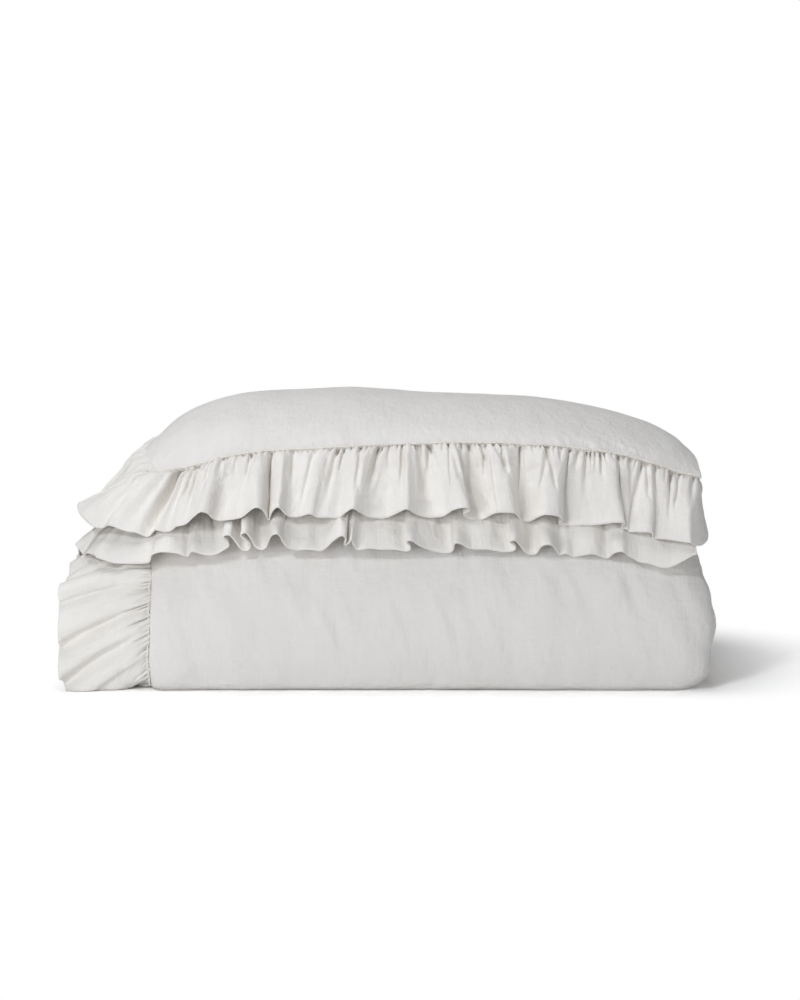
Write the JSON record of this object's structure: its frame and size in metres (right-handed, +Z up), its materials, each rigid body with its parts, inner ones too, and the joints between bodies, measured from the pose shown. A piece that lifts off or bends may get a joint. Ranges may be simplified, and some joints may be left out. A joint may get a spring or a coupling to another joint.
{
  "type": "duvet cover",
  "caption": "Ruffled white linen duvet cover over its filled duvet, folded back and forth into a soft stack with gathered ruffles along its front and left edges.",
  "frame": {"origin": "on the flat underside, below the middle of the top of the stack", "axes": "+X along the stack towards its folded right end, -Y out of the ruffled front, +Z up"},
  "size_m": [0.7301, 0.4822, 0.3226],
  "materials": {
    "linen": "washed plain-weave linen, matt",
    "ruffle_linen": "washed plain-weave linen, gathered, matt"
  },
  "bodies": {
    "root": {"duvet": "linen", "upper_ruffle": "ruffle_linen", "lower_ruffle": "ruffle_linen", "side_ruffle": "ruffle_linen"}
  },
  "joints": []
}
